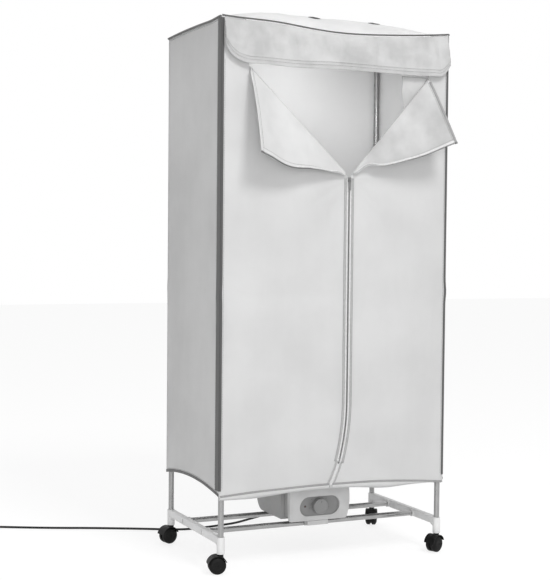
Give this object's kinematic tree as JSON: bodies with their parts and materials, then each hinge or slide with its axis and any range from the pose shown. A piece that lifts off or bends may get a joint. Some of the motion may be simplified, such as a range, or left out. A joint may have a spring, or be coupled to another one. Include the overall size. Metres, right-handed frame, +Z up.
{
  "type": "fabric drying cabinet",
  "caption": "Wheeled fabric clothes-drying cabinet: tubular frame, zipped cloth cover with folding flaps, and a timed warm-air unit in its base.",
  "frame": {"origin": "on the floor, midway between the four posts", "axes": "+X to the right of a person facing the zip, +Y to the back, +Z up"},
  "size_m": [1.2707, 1.0226, 1.5591],
  "materials": {
    "front_cloth": "satin, woven",
    "inner_cloth": "soft",
    "dark_binding": "matt",
    "zip_plastic": "matt",
    "zip_metal": "bright",
    "white_plastic": "satin",
    "black_plastic": "satin",
    "post_steel": "grey enamel",
    "rail_chrome": "bright",
    "steel": "zinc",
    "grey_plastic": "satin",
    "mid_grey_plastic": "satin",
    "dark_grey_plastic": "satin",
    "motor_metal": "satin",
    "ceramic": "matt",
    "black_lead": "satin"
  },
  "bodies": {
    "cabinet": {"base_rail_front": "rail_chrome", "base_rail_rear": "rail_chrome", "control_fascia": "grey_plastic", "cord_gland": "black_lead", "cover_back": "inner_cloth", "cover_binding": "dark_binding", "cover_front_left": "front_cloth", "cover_front_right": "front_cloth", "cover_header": "inner_cloth", "cover_left": "front_cloth", "cover_right": "front_cloth", "cover_roof": "front_cloth", "dial_plate": "dark_grey_plastic", "element_frame": "ceramic", "fan_motor": "motor_metal", "foot_left": "white_plastic", "foot_right": "white_plastic", "hanging_rail_front": "rail_chrome", "hanging_rail_rear": "rail_chrome", "heater_base": "mid_grey_plastic", "heater_cover": "mid_grey_plastic", "heating_element": "ceramic", "motor_bracket": "steel", "post_joiners": "white_plastic", "post_lower_back_left": "post_steel", "post_lower_back_right": "post_steel", "post_lower_front_left": "post_steel", "post_lower_front_right": "post_steel", "post_upper_back_left": "post_steel", "post_upper_back_right": "post_steel", "post_upper_front_left": "post_steel", "post_upper_front_right": "post_steel", "power_cord": "black_lead", "power_cord_coil": "black_lead", "power_plug": "black_lead", "rail_fasteners": "steel", "rail_saddles": "grey_plastic", "rail_tees": "white_plastic", "timer_switch": "dark_grey_plastic", "top_corners": "white_plastic", "top_side_rail_left": "rail_chrome", "top_side_rail_right": "rail_chrome", "unit_screws": "steel", "zip_track": "zip_plastic"},
    "caster_front_left": {"caster_hood_front_left": "black_plastic"},
    "wheels_front_left": {"caster_wheels_front_left": "black_plastic"},
    "caster_front_right": {"caster_hood_front_right": "black_plastic"},
    "wheels_front_right": {"caster_wheels_front_right": "black_plastic"},
    "caster_back_left": {"caster_hood_back_left": "black_plastic"},
    "wheels_back_left": {"caster_wheels_back_left": "black_plastic"},
    "caster_back_right": {"caster_hood_back_right": "black_plastic"},
    "wheels_back_right": {"caster_wheels_back_right": "black_plastic"},
    "knob": {"timer_knob": "mid_grey_plastic"},
    "fan": {"fan_impeller": "dark_grey_plastic"},
    "slider": {"zip_slider": "zip_metal"},
    "pull": {"zip_pull": "zip_metal"},
    "flap_left": {"cover_flap_left": "inner_cloth"},
    "flap_right": {"cover_flap_right": "inner_cloth"},
    "valance": {"cover_valance": "front_cloth"}
  },
  "joints": [
    {"name": "caster_swivel_front_left", "type": "hinge", "parent": "cabinet", "child": "caster_front_left", "pos_m": [-0.3425, -0.1975, 0.06], "axis": [0, 0, 1], "continuous": true},
    {"name": "wheel_spin_front_left", "type": "hinge", "parent": "caster_front_left", "child": "wheels_front_left", "pos_m": [-0.35228, -0.19542, 0.024], "axis": [0.2079, 0.9781, 0], "continuous": true},
    {"name": "caster_swivel_front_right", "type": "hinge", "parent": "cabinet", "child": "caster_front_right", "pos_m": [0.3425, -0.1975, 0.06], "axis": [0, 0, 1], "continuous": true},
    {"name": "wheel_spin_front_right", "type": "hinge", "parent": "caster_front_right", "child": "wheels_front_right", "pos_m": [0.3333, -0.20141, 0.024], "axis": [-0.3907, 0.9205, 0], "continuous": true},
    {"name": "caster_swivel_back_left", "type": "hinge", "parent": "cabinet", "child": "caster_back_left", "pos_m": [-0.3425, 0.1975, 0.06], "axis": [0, 0, 1], "continuous": true},
    {"name": "wheel_spin_back_left", "type": "hinge", "parent": "caster_back_left", "child": "wheels_back_left", "pos_m": [-0.35228, 0.19542, 0.024], "axis": [-0.2079, 0.9781, 0], "continuous": true},
    {"name": "caster_swivel_back_right", "type": "hinge", "parent": "cabinet", "child": "caster_back_right", "pos_m": [0.3425, 0.1975, 0.06], "axis": [0, 0, 1], "continuous": true},
    {"name": "wheel_spin_back_right", "type": "hinge", "parent": "caster_back_right", "child": "wheels_back_right", "pos_m": [0.33691, 0.18921, 0.024], "axis": [-0.829, 0.5592, 0], "continuous": true},
    {"name": "timer_turn", "type": "hinge", "parent": "cabinet", "child": "knob", "pos_m": [0, -0.108, 0.1435], "axis": [0, 1, 0], "range_deg": [0, 300]},
    {"name": "fan_spin", "type": "hinge", "parent": "cabinet", "child": "fan", "pos_m": [0, 0.018, 0.16], "axis": [0, 0, 1], "continuous": true},
    {"name": "zip_slide", "type": "slide", "parent": "cabinet", "child": "slider", "axis": [0, 0, -1], "range_m": [0, 0.61]},
    {"name": "flap_left_fold", "type": "hinge", "parent": "cabinet", "child": "flap_left", "pos_m": [-0.275, -0.21357, 1.379], "axis": [-0.7235, 0.0113, 0.6903], "range_deg": [0, 112]},
    {"name": "flap_right_fold", "type": "hinge", "parent": "cabinet", "child": "flap_right", "pos_m": [0.286, -0.21273, 1.378], "axis": [-0.6617, -0.0133, -0.7496], "range_deg": [0, 105]},
    {"name": "valance_lift", "type": "hinge", "parent": "cabinet", "child": "valance", "pos_m": [0, -0.2135, 1.504], "axis": [-1, 0, 0], "range_deg": [0, 100]},
    {"name": "pull_swing", "type": "hinge", "parent": "slider", "child": "pull", "pos_m": [0.03, -0.2224, 1.081], "axis": [-1, 0, 0], "range_deg": [0, 170]}
  ]
}
